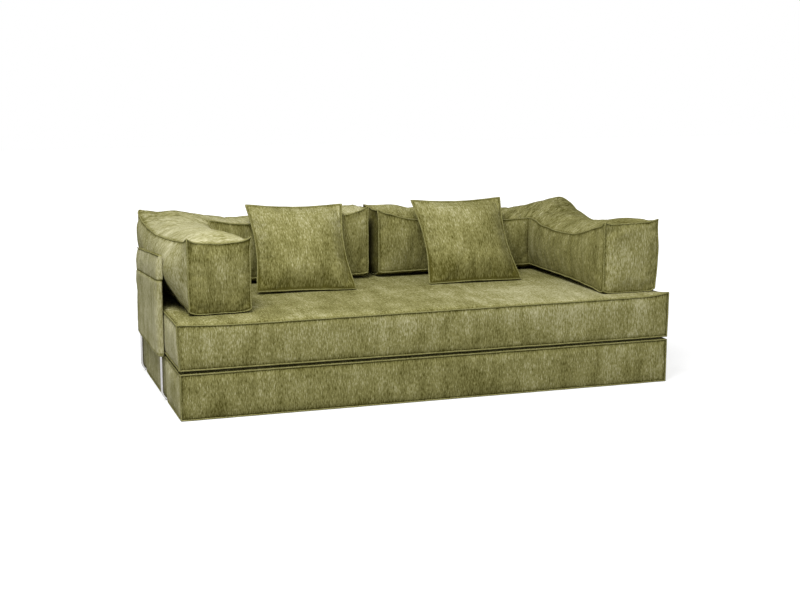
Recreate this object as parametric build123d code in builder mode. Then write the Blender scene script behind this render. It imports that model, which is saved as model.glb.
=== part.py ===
from build123d import *
from math import asin, atan2, cos, degrees, pi, sin
import os

# Majlis floor sofa, in millimetres: two equal foam slabs, one on the other, two L-shaped
# bolsters whose fabric sleeves hang over bent tube brackets, and two loose square pillows.
# X runs right along the seat, -Y is the front and +Z is up. The origin lies on the floor
# under the middle of the lower slab.

# Fabric, and the play between pieces
fabric = 2.5
filling_gap = 0.5
lift_gap = 0.3
overrun = 20

# Slabs: the seat lies on the base, and both have the same size
slab_length = 1900
slab_depth = 960
slab_thickness = 174
panel_bulge = 6
shoulder_width = 50
shoulder_drop = 6
side_panel_depth = 32
welt_radius = 2.4

# Brackets: tube bent into a hoop whose two feet run under the base. The tube has flats, and
# each bend a few short spans, to keep the faces few.
tube_radius = 6.35
tube_side_count = 8
tube_side_turn = 22.5
bend_span_count = 4
tube_wall = 1.2
tube_play = 0.3
foot_bend_radius = 36
foot_stub = 8
hoop_bend_radius = 42
hoop_height = 410
foot_length = 380
arm_hoop_width = 510
arm_hoop_rear_setback = 140
back_hoop_middle_setback = 60
back_hoop_foot_spacing = 30
plug_head = 3
plug_stem_length = 14
plug_play = 0.05

# Sleeves: a padded panel and a lining, bound on three sides into a pocket over each hoop,
# and sewn to the bolster by a flap
sleeve_lining = 3
sleeve_pad = 6
sleeve_binding = 3
sleeve_play = 1.2
sleeve_low = 170
flap_rise = 105
flap_thickness = 5
flap_bite = 4

# Bolsters: an arm log and a back log that meet on a mitre, in one L-shaped cover. The top of
# each log dips between its end and the corner. Heights are those of the inner top seam.
arm_width = 232
back_width = 210
middle_gap = 40
middle_shift = -10
top_crown = 38
top_tilt = 10
side_strip = 14
mitre_step = 3
underside_rise = 24
outer_bulge = 14
inner_bulge = 8
outer_tuck = 20
end_crown = 8
dip_sweep = 60
dip_span_shares = (0.33, 0.67, 1)

left_arm_length = 830
left_toe_in = 55
left_arm_end_height = 264
left_arm_dip_height = 238
left_inner_corner_height = 252
left_outer_corner_height = 298
left_back_dip_height = 236
left_back_end_height = 282

right_arm_length = 885
right_toe_in = 4
right_arm_end_height = 266
right_arm_dip_height = 194
right_inner_corner_height = 224
right_outer_corner_height = 292
right_back_dip_height = 216
right_back_end_height = 266

# Pillows: two square throw pillows with a narrow flange, which lean on the back
pillow_size = 400
pillow_thickness = 130
pillow_draw = 11
pillow_flange = 4
pillow_lean = 37
left_pillow_x = -343
right_pillow_x = 352

# Places that follow from the sizes above
seat_low = slab_thickness + lift_gap
bolster_low = seat_low + slab_thickness + lift_gap
arm_outer_x = slab_length / 2
back_rear_y = slab_depth / 2
back_front_y = back_rear_y - back_width
slab_side_x = slab_length / 2 + panel_bulge
slab_rear_y = slab_depth / 2 + panel_bulge
cavity_half = tube_radius + sleeve_play
hoop_offset = lift_gap + sleeve_lining + cavity_half
hoop_x = slab_side_x + hoop_offset
hoop_y = slab_rear_y + hoop_offset
arm_hoop_y = slab_depth / 2 - arm_hoop_rear_setback - arm_hoop_width / 2
back_foot_outer_x = hoop_x - foot_length - back_hoop_foot_spacing
back_hoop_width = back_foot_outer_x - back_hoop_middle_setback
back_hoop_x = back_hoop_middle_setback + back_hoop_width / 2
sleeve_top = hoop_height + cavity_half + sleeve_binding

os.makedirs("parts", exist_ok=True)


def save(part, name):
    """Labels a finished piece and writes it under its own name."""
    part.label = name
    export_step(part, f"parts/{name}.step")


def slab_profile(plane, span, low, inset):
    """Slice across a slab: flat top and bottom, soft shoulders and bulged sides."""
    half = span / 2
    flat = half - shoulder_width
    high = low + slab_thickness
    with BuildSketch(plane) as profile:
        with BuildLine():
            Line((0, high), (flat, high))
            TangentArc((flat, high), (half, high - shoulder_drop), tangent=(1, 0))
            ThreePointArc(
                (half, high - shoulder_drop),
                (half + panel_bulge, (low + high) / 2),
                (half, low + shoulder_drop),
            )
            TangentArc((flat, low), (half, low + shoulder_drop), tangent=(1, 0))
            Line((flat, low), (0, low))
            mirror(about=Plane.YZ)
        make_face()
        if inset:
            offset(amount=-inset, kind=Kind.INTERSECTION)
    return profile.sketch


def foot_dent(lengthwise, grow):
    """Room for one foot and its bend: lengthwise is upright, with X inward from the leg.

    The short straight spans of the bend pass inside its true arc, so the room over it is cut
    further in by as much.
    """
    half = tube_radius + grow
    over_foot = 2 * tube_radius + grow
    bend_high = tube_radius + foot_bend_radius
    span_sag = foot_bend_radius * (1 - cos(pi / 4 / bend_span_count))
    with BuildPart() as dent:
        with BuildSketch(lengthwise):
            with BuildLine():
                Polyline(
                    (half + span_sag, bend_high),
                    (-half, bend_high),
                    (-half, -overrun),
                    (foot_length + plug_head + grow, -overrun),
                    (foot_length + plug_head + grow, over_foot),
                    (foot_bend_radius, over_foot),
                    (foot_bend_radius, over_foot + span_sag),
                )
                TangentArc(
                    (half + span_sag, bend_high),
                    (foot_bend_radius, over_foot + span_sag),
                    tangent=(0, -1),
                )
            make_face()
        extrude(amount=half, both=True)
    return dent.part


def foot_dents(grow):
    """Room for all eight feet, on upright planes whose X axis runs inward from the leg."""
    planes = []
    for side in (-1, 1):
        for end in (-1, 1):
            arm_leg = (side * hoop_x, arm_hoop_y + end * arm_hoop_width / 2, 0)
            planes.append(Plane(arm_leg, x_dir=(-side, 0, 0), z_dir=(0, side, 0)))
            back_leg = (side * back_hoop_x + end * back_hoop_width / 2, hoop_y, 0)
            planes.append(Plane(back_leg, x_dir=(0, -1, 0), z_dir=(-1, 0, 0)))
    return [foot_dent(plane, grow) for plane in planes]


def slab_form(low, inset, on_feet):
    """A soft box: the slice along the sofa, kept where the slice across it reaches."""
    along = slab_profile(Plane.XZ, slab_length, low, inset)
    across = slab_profile(Plane.YZ, slab_depth, low, inset)
    dents = foot_dents(tube_play + inset) if on_feet else []
    with BuildPart() as form:
        extrude(along, amount=slab_depth, both=True)
        extrude(across, amount=slab_length, both=True, mode=Mode.INTERSECT)
        for dent in dents:
            add(dent, mode=Mode.SUBTRACT)
    return form.part


def welt_loop(high):
    """Piping sewn into the seam all round a slab, at one height, with mitred corners."""
    half_length = slab_length / 2
    half_depth = slab_depth / 2
    with BuildPart() as loop:
        with BuildLine() as right_half:
            Polyline(
                (0, -half_depth, high),
                (half_length, -half_depth, high),
                (half_length, half_depth, high),
                (0, half_depth, high),
            )
        with BuildSketch(Plane((0, -half_depth, high), z_dir=(1, 0, 0))):
            RegularPolygon(welt_radius, tube_side_count, rotation=tube_side_turn)
        sweep(path=right_half.line, transition=Transition.RIGHT)
        mirror(about=Plane.YZ)
    return loop.part


def seam_wedge(low_seam, high_seam, half_run, half_reach, turn):
    """Space of one side panel, between the seams and mitred at both slab corners."""
    inner = half_reach - side_panel_depth
    with BuildPart() as wedge:
        with BuildSketch(Plane.XY.offset(low_seam).rotated((0, 0, turn))):
            Polygon(
                (-half_run - overrun, -half_reach - overrun),
                (half_run + overrun, -half_reach - overrun),
                (half_run - side_panel_depth, -inner),
                (side_panel_depth - half_run, -inner),
                align=None,
            )
        extrude(amount=high_seam - low_seam)
    return wedge.part


def make_slab(name, low, on_feet):
    """Foam block, six cover panels and the two seam welts of one slab."""
    low_seam = low + shoulder_drop
    high_seam = low + slab_thickness - shoulder_drop
    outer = slab_form(low, 0, on_feet)
    cavity = slab_form(low, fabric, on_feet)
    block = slab_form(low, fabric + filling_gap, on_feet)
    dents = foot_dents(tube_play) if on_feet else []
    welts = {"bottom_welt": welt_loop(low_seam), "top_welt": welt_loop(high_seam)}
    half_length = slab_length / 2
    half_depth = slab_depth / 2
    wedges = {
        "front_panel": seam_wedge(low_seam, high_seam, half_length, half_depth, 0),
        "right_panel": seam_wedge(low_seam, high_seam, half_depth, half_length, 90),
        "rear_panel": seam_wedge(low_seam, high_seam, half_length, half_depth, 180),
        "left_panel": seam_wedge(low_seam, high_seam, half_depth, half_length, 270),
    }

    with BuildPart() as cover:
        add(outer)
        add(cavity, mode=Mode.SUBTRACT)
        for welt in welts.values():
            add(welt, mode=Mode.SUBTRACT)

    with BuildPart() as foam:
        add(block)
    save(foam.part, f"{name}_foam")

    with BuildPart() as top_panel:
        add(cover.part)
        split(bisect_by=Plane.XY.offset(high_seam), keep=Keep.TOP)
    save(top_panel.part, f"{name}_top_panel")

    with BuildPart() as bottom_panel:
        add(cover.part)
        split(bisect_by=Plane.XY.offset(high_seam), keep=Keep.BOTTOM)
        for wedge in wedges.values():
            add(wedge, mode=Mode.SUBTRACT)
    save(bottom_panel.part, f"{name}_bottom_panel")

    for panel_name, wedge in wedges.items():
        with BuildPart() as side_panel:
            add(cover.part)
            add(wedge, mode=Mode.INTERSECT)
        save(side_panel.part, f"{name}_{panel_name}")

    for welt_name, welt in welts.items():
        with BuildPart() as seam_welt:
            add(welt)
            for dent in dents:
                add(dent, mode=Mode.SUBTRACT)
        save(seam_welt.part, f"{name}_{welt_name}")


def tube_flats(reach, mode=Mode.ADD):
    """Outline of the bracket's tube or bore, with flats above, below and at both sides."""
    return RegularPolygon(
        reach, tube_side_count, major_radius=False, rotation=tube_side_turn, mode=mode
    )


def tube_route(corners, radii):
    """Path through the corners, with every bend cut into equal short spans."""
    points = []
    rounded = FilletPolyline(*corners, radius=radii, mode=Mode.PRIVATE)
    for edge in rounded.edges():
        spans = 1 if edge.geom_type == GeomType.LINE else bend_span_count
        points += [edge @ (span / spans) for span in range(spans)]
    return Polyline(*points, corners[-1])


def make_bracket(name, middle, along, inward, width):
    """Hoop of tube over two bent feet that run under the base, each foot closed by a plug."""
    up = Vector(0, 0, 1)
    leg_level = middle + up * (tube_radius + foot_bend_radius + foot_stub)
    top_level = middle + up * hoop_height
    sides = (along * (-width / 2), along * (width / 2))
    bore = tube_radius - tube_wall
    with BuildPart() as hoop:
        with BuildLine() as over:
            tube_route(
                [
                    leg_level + sides[0],
                    top_level + sides[0],
                    top_level + sides[1],
                    leg_level + sides[1],
                ],
                hoop_bend_radius,
            )
        with BuildSketch(Plane(leg_level + sides[0], x_dir=along, z_dir=up)):
            tube_flats(tube_radius)
            tube_flats(bore, mode=Mode.SUBTRACT)
        sweep(path=over.line, transition=Transition.RIGHT)
    save(hoop.part, f"{name}_bracket")

    feet = []
    for side in sides:
        heel = middle + side + up * tube_radius
        end = heel + inward * foot_length
        with BuildPart() as foot:
            with BuildLine() as under:
                tube_route([end, heel, leg_level + side], foot_bend_radius)
            with BuildSketch(Plane(end, x_dir=along, z_dir=-inward)):
                tube_flats(tube_radius)
                tube_flats(bore, mode=Mode.SUBTRACT)
            sweep(path=under.line, transition=Transition.RIGHT)
        feet.append(foot.part)
    save(Compound(children=feet), f"{name}_bracket_feet")

    with BuildPart() as plugs:
        for side in sides:
            end = middle + side + up * tube_radius + inward * foot_length
            with BuildSketch(Plane(end, x_dir=along, z_dir=inward)):
                tube_flats(tube_radius)
            extrude(amount=plug_head)
            with BuildSketch(Plane(end, x_dir=along, z_dir=-inward)):
                tube_flats(bore - plug_play)
            extrude(amount=plug_stem_length)
    save(plugs.part, f"{name}_bracket_plugs")


class Log:
    """One straight log of a bolster, from its end panel to the mitre where it meets the other.

    The outer edge starts at corner and runs in the direction of along, and across points from
    the outer to the inner edge. The mitre runs from corner to inner_corner.
    """

    def __init__(self, corner, inner_corner, along, across, width, length, heights):
        self.corner = corner
        self.inner_corner = inner_corner
        self.along = along
        self.across = across
        self.width = width
        self.length = length
        end_height, self.dip_height, inner_height, outer_height = heights
        inner_rise = inner_height - self.dip_height
        outer_rise = outer_height - self.dip_height
        mitre_run = (inner_corner - corner).dot(along)
        dip_run = mitre_run / ((outer_rise / inner_rise) ** 0.5 - 1)
        end_run = length - mitre_run - dip_run
        end_rise = end_height - self.dip_height
        self.dip = inner_corner + along * dip_run
        self.corner_run = mitre_run + dip_run
        self.corner_radius = (dip_run**2 / inner_rise + inner_rise) / 2
        self.end_run = end_run
        self.end_radius = (end_run**2 / end_rise + end_rise) / 2

    def across_plane(self):
        """Upright plane at the lowest place of the top: X from inner to outer edge, Y up."""
        return Plane(self.dip, x_dir=-self.across, z_dir=self.along * self.turn())

    def turn(self):
        """1 where the upright plane's normal runs along the log, and -1 where it runs back."""
        normal = (-self.across).cross(Vector(0, 0, 1))
        return 1 if normal.dot(self.along) > 0 else -1

    def plan(self, inset):
        """Outline seen from above, wide of the sides, with the mitre and the bulged end."""
        mitre = (self.inner_corner - self.corner).normalized() * overrun * 2
        end = self.corner + self.along * (self.length - inset)
        outer_end = end - self.across * overrun
        inner_end = end + self.across * (self.width + overrun)
        crown = (outer_end + inner_end) / 2 + self.along * end_crown
        with BuildSketch() as outline:
            with BuildLine():
                Polyline(outer_end, self.corner - mitre, self.inner_corner + mitre, inner_end)
                ThreePointArc(inner_end, crown, outer_end)
            make_face()
        return outline.sketch

    def walls(self, inset):
        """Slice across the log: bulged underside and sides, upright in a strip below the seams."""
        foot = underside_rise + inset
        strip_low = self.dip_height - side_strip
        inner_foot = Vector(inset, foot)
        outer_foot = Vector(self.width - outer_tuck - inset, foot)
        inner_top = Vector(inset, strip_low)
        outer_top = Vector(self.width - inset, strip_low)
        over = Vector(0, self.dip_height)
        below = (inner_foot + outer_foot) / 2 - Vector(0, underside_rise)
        outer_side = (outer_foot + outer_top) / 2 + Vector(outer_bulge, 0)
        inner_side = (inner_foot + inner_top) / 2 - Vector(inner_bulge, 0)
        with BuildSketch(self.across_plane()) as upright:
            with BuildLine():
                ThreePointArc(inner_foot, below, outer_foot)
                ThreePointArc(outer_foot, outer_side, outer_top)
                Polyline(outer_top, outer_top + over, inner_top + over, inner_top)
                ThreePointArc(inner_top, inner_side, inner_foot)
            make_face()
        return upright.sketch

    def crown(self, inset):
        """Slice across the log: arc over the top seams, carried on past both sides."""
        inner_seam = Vector(0, self.dip_height - inset)
        outer_seam = Vector(self.width, self.dip_height + top_tilt - inset)
        chord = outer_seam - inner_seam
        level = chord.normalized()
        upward = Vector(-level.Y, level.X)
        radius = (chord.length**2 / 4 + top_crown**2) / (2 * top_crown)
        reach = chord.length / 2 + overrun
        sag = radius - (radius**2 - reach**2) ** 0.5
        apex = (inner_seam + outer_seam) / 2 + upward * top_crown
        outer_end = apex + level * reach - upward * sag
        inner_end = apex - level * reach - upward * sag
        floor = Vector(0, -2 * self.dip_height)
        with BuildSketch(self.across_plane()) as upright:
            with BuildLine():
                ThreePointArc(outer_end, apex, inner_end)
                Polyline(inner_end, inner_end + floor, outer_end + floor, outer_end)
            make_face()
        return upright.sketch

    def top(self, inset):
        """Solid below the dipped top: smooth outside, and in straight spans where it is hidden."""
        crown = self.crown(inset)
        high = self.dip + Vector(0, 0, self.dip_height)
        with BuildPart() as under:
            for radius, run, direction in (
                (self.corner_radius, self.corner_run, -1),
                (self.end_radius, self.end_run, 1),
            ):
                hinge = Axis(high + Vector(0, 0, radius), self.across * direction * self.turn())
                if inset:
                    steepest = degrees(asin(run / radius))
                    for share in dip_span_shares:
                        span = crown.rotate(hinge, share * steepest)
                        extrude(span, amount=self.length, both=True)
                else:
                    revolve(crown, axis=hinge, revolution_arc=dip_sweep)
            extrude(crown, amount=(self.length if inset else overrun), both=True)
        return under.part

    def form(self, inset):
        """Solid of the log, drawn in by inset: what the outline, walls and dipped top share."""
        plan = self.plan(inset)
        walls = self.walls(inset)
        top = self.top(inset)
        with BuildPart() as log:
            extrude(walls, amount=self.length, both=True)
            extrude(plan, amount=2 * self.corner.Z, both=True, mode=Mode.INTERSECT)
            add(top, mode=Mode.INTERSECT)
        return log.part


def make_sleeve(name, middle, outward, width, flap_tops, bolster_body):
    """Pocket over one hoop, open below, with the flap that hangs it from its bolster."""
    up = Vector(0, 0, 1)
    along = up.cross(outward)
    face = Plane(middle, x_dir=along, z_dir=outward)
    hoop_reach = width / 2 + cavity_half
    pocket_reach = hoop_reach + sleeve_binding
    pocket_out = cavity_half + sleeve_pad
    pocket_middle = (sleeve_low + sleeve_top) / 2

    with BuildPart() as pad:
        with BuildSketch(face.offset(cavity_half)):
            with Locations((0, pocket_middle)):
                Rectangle(2 * pocket_reach, sleeve_top - sleeve_low)
        extrude(amount=sleeve_pad)
    save(pad.part, name)

    with BuildPart() as lining:
        with BuildSketch(face.offset(-cavity_half)):
            with Locations((0, pocket_middle)):
                Rectangle(2 * pocket_reach, sleeve_top - sleeve_low)
        extrude(amount=-sleeve_lining)
    save(lining.part, f"{name}_lining")

    strips = []
    with BuildSketch(face.offset(-cavity_half)) as top_strip:
        with Locations((0, sleeve_top - sleeve_binding / 2)):
            Rectangle(2 * pocket_reach, sleeve_binding)
    strips.append(top_strip.sketch)
    side_high = sleeve_top - sleeve_binding
    for end in (-1, 1):
        with BuildSketch(face.offset(-cavity_half)) as side_strip:
            with Locations((end * (hoop_reach + sleeve_binding / 2), (sleeve_low + side_high) / 2)):
                Rectangle(sleeve_binding, side_high - sleeve_low)
        strips.append(side_strip.sketch)
    bindings = [extrude(strip, amount=2 * cavity_half) for strip in strips]
    save(Compound(children=bindings), f"{name}_binding")

    edges = []
    for end, top_in in zip((-1, 1), flap_tops):
        edge = Plane(middle + along * (end * pocket_reach), x_dir=outward, z_dir=-along)
        with BuildSketch(edge) as strip:
            Polygon(
                (pocket_out, sleeve_top),
                (-top_in, sleeve_top + flap_rise),
                (-top_in - flap_thickness, sleeve_top + flap_rise),
                (pocket_out - flap_thickness, sleeve_top),
                align=None,
            )
        edges.append(strip.sketch)
    with BuildPart() as flap:
        loft(edges, ruled=True)
        add(bolster_body, mode=Mode.SUBTRACT)
    save(flap.part, f"{name}_flap")


def make_bolster(name, side, arm_length, toe_in, arm_heights, back_heights):
    """Cover and the two filling logs of one bolster, with its two sleeves."""
    corner = Vector(side * arm_outer_x, back_rear_y, bolster_low)
    toe_angle = atan2(toe_in, arm_length)
    arm_along = Vector(-side * sin(toe_angle), -cos(toe_angle))
    arm_across = Vector(-side * cos(toe_angle), sin(toe_angle))
    inner_run = (back_width + arm_width * sin(toe_angle)) / cos(toe_angle)
    inner_corner = corner + arm_across * arm_width + arm_along * inner_run
    back_length = arm_outer_x - side * middle_shift - middle_gap / 2
    back_end, back_dip, back_inner, back_outer = back_heights
    stepped = (back_end, back_dip, back_inner - mitre_step, back_outer - mitre_step)
    logs = (
        Log(corner, inner_corner, arm_along, arm_across, arm_width, arm_length, arm_heights),
        Log(
            corner,
            inner_corner,
            Vector(-side, 0),
            Vector(0, -1),
            back_width,
            back_length,
            stepped,
        ),
    )

    with BuildPart() as outer:
        for log in logs:
            add(log.form(0))
    with BuildPart() as cover:
        add(outer.part)
        for log in logs:
            add(log.form(fabric), mode=Mode.SUBTRACT)
    save(cover.part, f"{name}_bolster_cover")

    for core_name, log in zip(("arm_core", "back_core"), logs):
        with BuildPart() as core:
            add(log.form(fabric + filling_gap))
        save(core.part, f"{name}_bolster_{core_name}")

    arm_reach = arm_hoop_width / 2
    arm_seam = hoop_x - arm_outer_x + flap_bite
    arm_tops = []
    for end in (-1, 1):
        from_rear = back_rear_y - arm_hoop_y - side * end * arm_reach
        arm_tops.append(arm_seam + from_rear * toe_in / arm_length)
    make_sleeve(
        f"{name}_arm_sleeve",
        Vector(side * hoop_x, arm_hoop_y, 0),
        Vector(side, 0, 0),
        arm_hoop_width,
        arm_tops,
        outer.part,
    )
    back_seam = hoop_y - back_rear_y + flap_bite
    make_sleeve(
        f"{name}_back_sleeve",
        Vector(side * back_hoop_x, hoop_y, 0),
        Vector(0, 1, 0),
        back_hoop_width,
        [back_seam, back_seam],
        outer.part,
    )


def pillow_slice(plane, inset):
    """Upright slice through the middle of half a pillow: its seam and the arc of its crown."""
    half = pillow_size / 2 - pillow_draw - pillow_flange - inset
    with BuildSketch(plane) as upright:
        with BuildLine():
            Line((half, 0), (-half, 0))
            ThreePointArc((-half, 0), (0, pillow_thickness / 2 - inset), (half, 0))
        make_face()
    return upright.sketch


def pillow_half(plane, inset):
    """Half of a pillow's filling, kept where its two upright slices both reach."""
    lengthwise = Plane(plane.origin, x_dir=plane.x_dir, z_dir=-plane.y_dir)
    crosswise = Plane(plane.origin, x_dir=plane.y_dir, z_dir=plane.x_dir)
    with BuildPart() as half:
        extrude(pillow_slice(lengthwise, inset), amount=pillow_size, both=True)
        extrude(
            pillow_slice(crosswise, inset), amount=pillow_size, both=True, mode=Mode.INTERSECT
        )
    return half.part


def pillow_shell(plane):
    """Outside of half a pillow: its crown and half the thickness of its flange."""
    half = pillow_size / 2
    side = half - pillow_draw
    with BuildPart() as shell:
        add(pillow_half(plane, 0))
        with BuildSketch(plane):
            with BuildLine():
                ThreePointArc((-half, -half), (0, -side), (half, -half))
                ThreePointArc((half, -half), (side, 0), (half, half))
                ThreePointArc((half, half), (0, side), (-half, half))
                ThreePointArc((-half, half), (-side, 0), (-half, -half))
            make_face()
        extrude(amount=fabric)
    return shell.part


def make_pillow(name, x):
    """Filling and the front and back panels of one pillow, leaning on the back."""
    front = Plane.XY.rotated((90 - pillow_lean, 0, 0))
    rear = Plane(front.origin, x_dir=front.x_dir, z_dir=-front.z_dir)
    lowest = pillow_shell(rear).bounding_box().min.Z
    rearmost = max(pillow_shell(plane).bounding_box().max.Y for plane in (front, rear))
    rest = Vector(
        x,
        back_front_y - inner_bulge - lift_gap - rearmost,
        bolster_low - lowest,
    )
    filling_halves = []
    for panel_name, face in (("front_panel", front), ("back_panel", rear)):
        plane = Plane(rest, x_dir=face.x_dir, z_dir=face.z_dir)
        shell = pillow_shell(plane)
        hollow = pillow_half(plane, fabric)
        filling_halves.append(pillow_half(plane, fabric + filling_gap))
        with BuildPart() as panel:
            add(shell)
            add(hollow, mode=Mode.SUBTRACT)
        save(panel.part, f"{name}_{panel_name}")
    with BuildPart() as filling:
        for half in filling_halves:
            add(half)
    save(filling.part, f"{name}_filling")


make_slab("base", 0, on_feet=True)
make_slab("seat", seat_low, on_feet=False)

for side_name, side in (("left", -1), ("right", 1)):
    make_bracket(
        f"{side_name}_arm",
        Vector(side * hoop_x, arm_hoop_y, 0),
        Vector(0, 1, 0),
        Vector(-side, 0, 0),
        arm_hoop_width,
    )
    make_bracket(
        f"{side_name}_back",
        Vector(side * back_hoop_x, hoop_y, 0),
        Vector(1, 0, 0),
        Vector(0, -1, 0),
        back_hoop_width,
    )

make_bolster(
    "left",
    -1,
    left_arm_length,
    left_toe_in,
    (
        left_arm_end_height,
        left_arm_dip_height,
        left_inner_corner_height,
        left_outer_corner_height,
    ),
    (
        left_back_end_height,
        left_back_dip_height,
        left_inner_corner_height,
        left_outer_corner_height,
    ),
)
make_bolster(
    "right",
    1,
    right_arm_length,
    right_toe_in,
    (
        right_arm_end_height,
        right_arm_dip_height,
        right_inner_corner_height,
        right_outer_corner_height,
    ),
    (
        right_back_end_height,
        right_back_dip_height,
        right_inner_corner_height,
        right_outer_corner_height,
    ),
)
make_pillow("left_pillow", left_pillow_x)
make_pillow("right_pillow", right_pillow_x)
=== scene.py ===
import bpy, bmesh, math
from mathutils import Matrix, Vector, noise
from mathutils.kdtree import KDTree


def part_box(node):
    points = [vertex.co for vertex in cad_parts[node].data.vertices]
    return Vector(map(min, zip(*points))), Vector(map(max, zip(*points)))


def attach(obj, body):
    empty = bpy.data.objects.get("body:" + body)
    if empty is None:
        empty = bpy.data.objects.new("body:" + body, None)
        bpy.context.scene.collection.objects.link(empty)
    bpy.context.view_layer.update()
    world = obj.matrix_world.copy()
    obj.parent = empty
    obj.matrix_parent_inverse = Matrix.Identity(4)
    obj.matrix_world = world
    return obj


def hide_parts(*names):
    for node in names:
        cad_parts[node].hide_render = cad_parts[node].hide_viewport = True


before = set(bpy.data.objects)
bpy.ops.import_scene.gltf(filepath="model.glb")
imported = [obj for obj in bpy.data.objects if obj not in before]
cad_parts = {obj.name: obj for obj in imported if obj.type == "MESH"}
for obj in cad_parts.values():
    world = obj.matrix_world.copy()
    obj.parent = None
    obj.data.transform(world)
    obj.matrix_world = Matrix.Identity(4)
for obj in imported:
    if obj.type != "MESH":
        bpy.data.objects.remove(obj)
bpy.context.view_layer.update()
scene = bpy.context.scene

# The camera stands in front of the sofa, left of its left end and 1.26 m above the floor, and
# looks slightly down.
lens = bpy.data.cameras.new("camera")
lens.sensor_width = 36
lens.lens = 61.65
camera = bpy.data.objects.new("camera", lens)
camera.location = (-1.711, -5.116, 1.257)
camera.rotation_euler = (math.radians(79.91), 0, math.radians(-18.65))
scene.collection.objects.link(camera)
scene.camera = camera


# The floor is a sheet of pale matt paper. It keeps the sofa's soft shadow and glows for the
# camera, close to white. The class that writes shader sums stands here, where it is first used.
class Tone:
    """A shader socket in a tree: sums add Math nodes, and node() adds any other node."""

    def __init__(self, tree, socket=None):
        self.tree = tree
        self.socket = socket

    def node(self, kind, settings=None, values=None, output=0):
        made = self.tree.nodes.new(kind)
        for name, value in (settings or {}).items():
            if name == "stops":
                ramp = made.color_ramp.elements
                while len(ramp) < len(value):
                    ramp.new(0.5)
                for stop, (place, color) in zip(ramp, value):
                    stop.position = place
                    stop.color = (*color, 1)
            else:
                setattr(made, name, value)
        for name, value in (values or {}).items():
            if isinstance(value, Tone):
                self.tree.links.new(value.socket, made.inputs[name])
            else:
                made.inputs[name].default_value = value
        return Tone(self.tree, made.outputs[output] if made.outputs else None)

    def math(self, operation, first, second):
        return self.node("ShaderNodeMath", {"operation": operation}, {0: first, 1: second})

    def __add__(self, other):
        return self.math("ADD", self, other)

    def __radd__(self, other):
        return self.math("ADD", other, self)

    def __sub__(self, other):
        return self.math("SUBTRACT", self, other)

    def __rsub__(self, other):
        return self.math("SUBTRACT", other, self)

    def __mul__(self, other):
        return self.math("MULTIPLY", self, other)

    def __rmul__(self, other):
        return self.math("MULTIPLY", other, self)


def new_material(name):
    """An empty material and its tree; every surface here is built from nodes."""
    made = bpy.data.materials.new(name)
    made.use_nodes = True
    made.node_tree.nodes.clear()
    return made, Tone(made.node_tree)


def finish_surface(tree, shader):
    """Plugs the shader into the material's surface."""
    tree.node("ShaderNodeOutputMaterial", None, {"Surface": shader})


def seen_directly(tree):
    """1 for rays from the camera and for those that metal or glass sends on, else 0."""
    straight = tree.node("ShaderNodeLightPath", output="Is Camera Ray")
    mirrored = tree.node("ShaderNodeLightPath", output="Is Glossy Ray")
    through = tree.node("ShaderNodeLightPath", output="Is Transmission Ray")
    return tree.math("MINIMUM", straight + mirrored + through, 1.0)


floor_half = 14
shadow_reach = (1.2, 3.4)
glow_near = 0.74
glow_rise = 0.3
paper, tree = new_material("pale_paper")
away = tree.node(
    "ShaderNodeVectorMath",
    {"operation": "LENGTH"},
    {0: tree.node("ShaderNodeTexCoord", output="Object")},
    output="Value",
)
far = tree.node(
    "ShaderNodeMapRange",
    {"interpolation_type": "SMOOTHSTEP"},
    {"Value": away, "From Min": shadow_reach[0], "From Max": shadow_reach[1]},
)
matte = tree.node(
    "ShaderNodeBsdfPrincipled", None, {"Base Color": (0.34, 0.34, 0.34, 1), "Roughness": 1.0}
)
glow = tree.node(
    "ShaderNodeEmission",
    None,
    {"Color": (1, 1, 1, 1), "Strength": seen_directly(tree) * (far * glow_rise + glow_near)},
)
finish_surface(tree, tree.node("ShaderNodeAddShader", None, {0: matte, 1: glow}))

sheet = bmesh.new()
bmesh.ops.create_grid(sheet, x_segments=1, y_segments=1, size=floor_half)
floor_mesh = bpy.data.meshes.new("floor")
sheet.to_mesh(floor_mesh)
sheet.free()
floor = bpy.data.objects.new("floor", floor_mesh)
floor.data.materials.append(paper)
scene.collection.objects.link(floor)

# The studio is an even pale room, white where the camera looks straight at it. Two soft boxes
# light the sofa: a large one high in front on the left, and a weak one in front on the right.
ambient = 0.50
lamp_aim = Vector((0, 0, 0.3))
world = bpy.data.worlds.new("studio")
world.use_nodes = True
world.node_tree.nodes.clear()
tree = Tone(world.node_tree)
sky = tree.node(
    "ShaderNodeBackground",
    None,
    {"Color": (1, 1, 1, 1), "Strength": seen_directly(tree) * (1 - ambient) + ambient},
)
tree.node("ShaderNodeOutputWorld", None, {"Surface": sky})
scene.world = world
scene.view_settings.view_transform = "Standard"
for name, place, size, power in (
    ("key", (-1.7, -2.3, 4.1), 1.8, 215),
    ("front", (2.0, -4.8, 2.4), 2.6, 34),
):
    box = bpy.data.lights.new(name, "AREA")
    box.size = size
    box.energy = power
    lamp = bpy.data.objects.new(name, box)
    lamp.location = place
    lamp.rotation_euler = (lamp_aim - Vector(place)).to_track_quat("-Z", "Y").to_euler()
    scene.collection.objects.link(lamp)


# The cloth is an olive green chenille. Its tufts lie in fine short streaks that run down the
# sides of each piece, and the pile catches the light in soft uneven patches.
band_size = (0.046, 0.23)
patch_size = (0.17, 0.13)
fold_size = (0.011, 0.080)
pile_contrast = 1.3
wear_contrast = 0.37
# How dark the painted shade is along the seams and in the bolsters' fold lines.
seam_painted_shade = 0.36
fold_painted_shade = 0.3
fold_sharpness = 16
pile_finish = {
    "Roughness": 0.92,
    "Specular IOR Level": 0.0,
    "Sheen Weight": 0.05,
    "Sheen Roughness": 0.6,
    "Sheen Tint": (0.62, 0.60, 0.42, 1),
}


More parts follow.
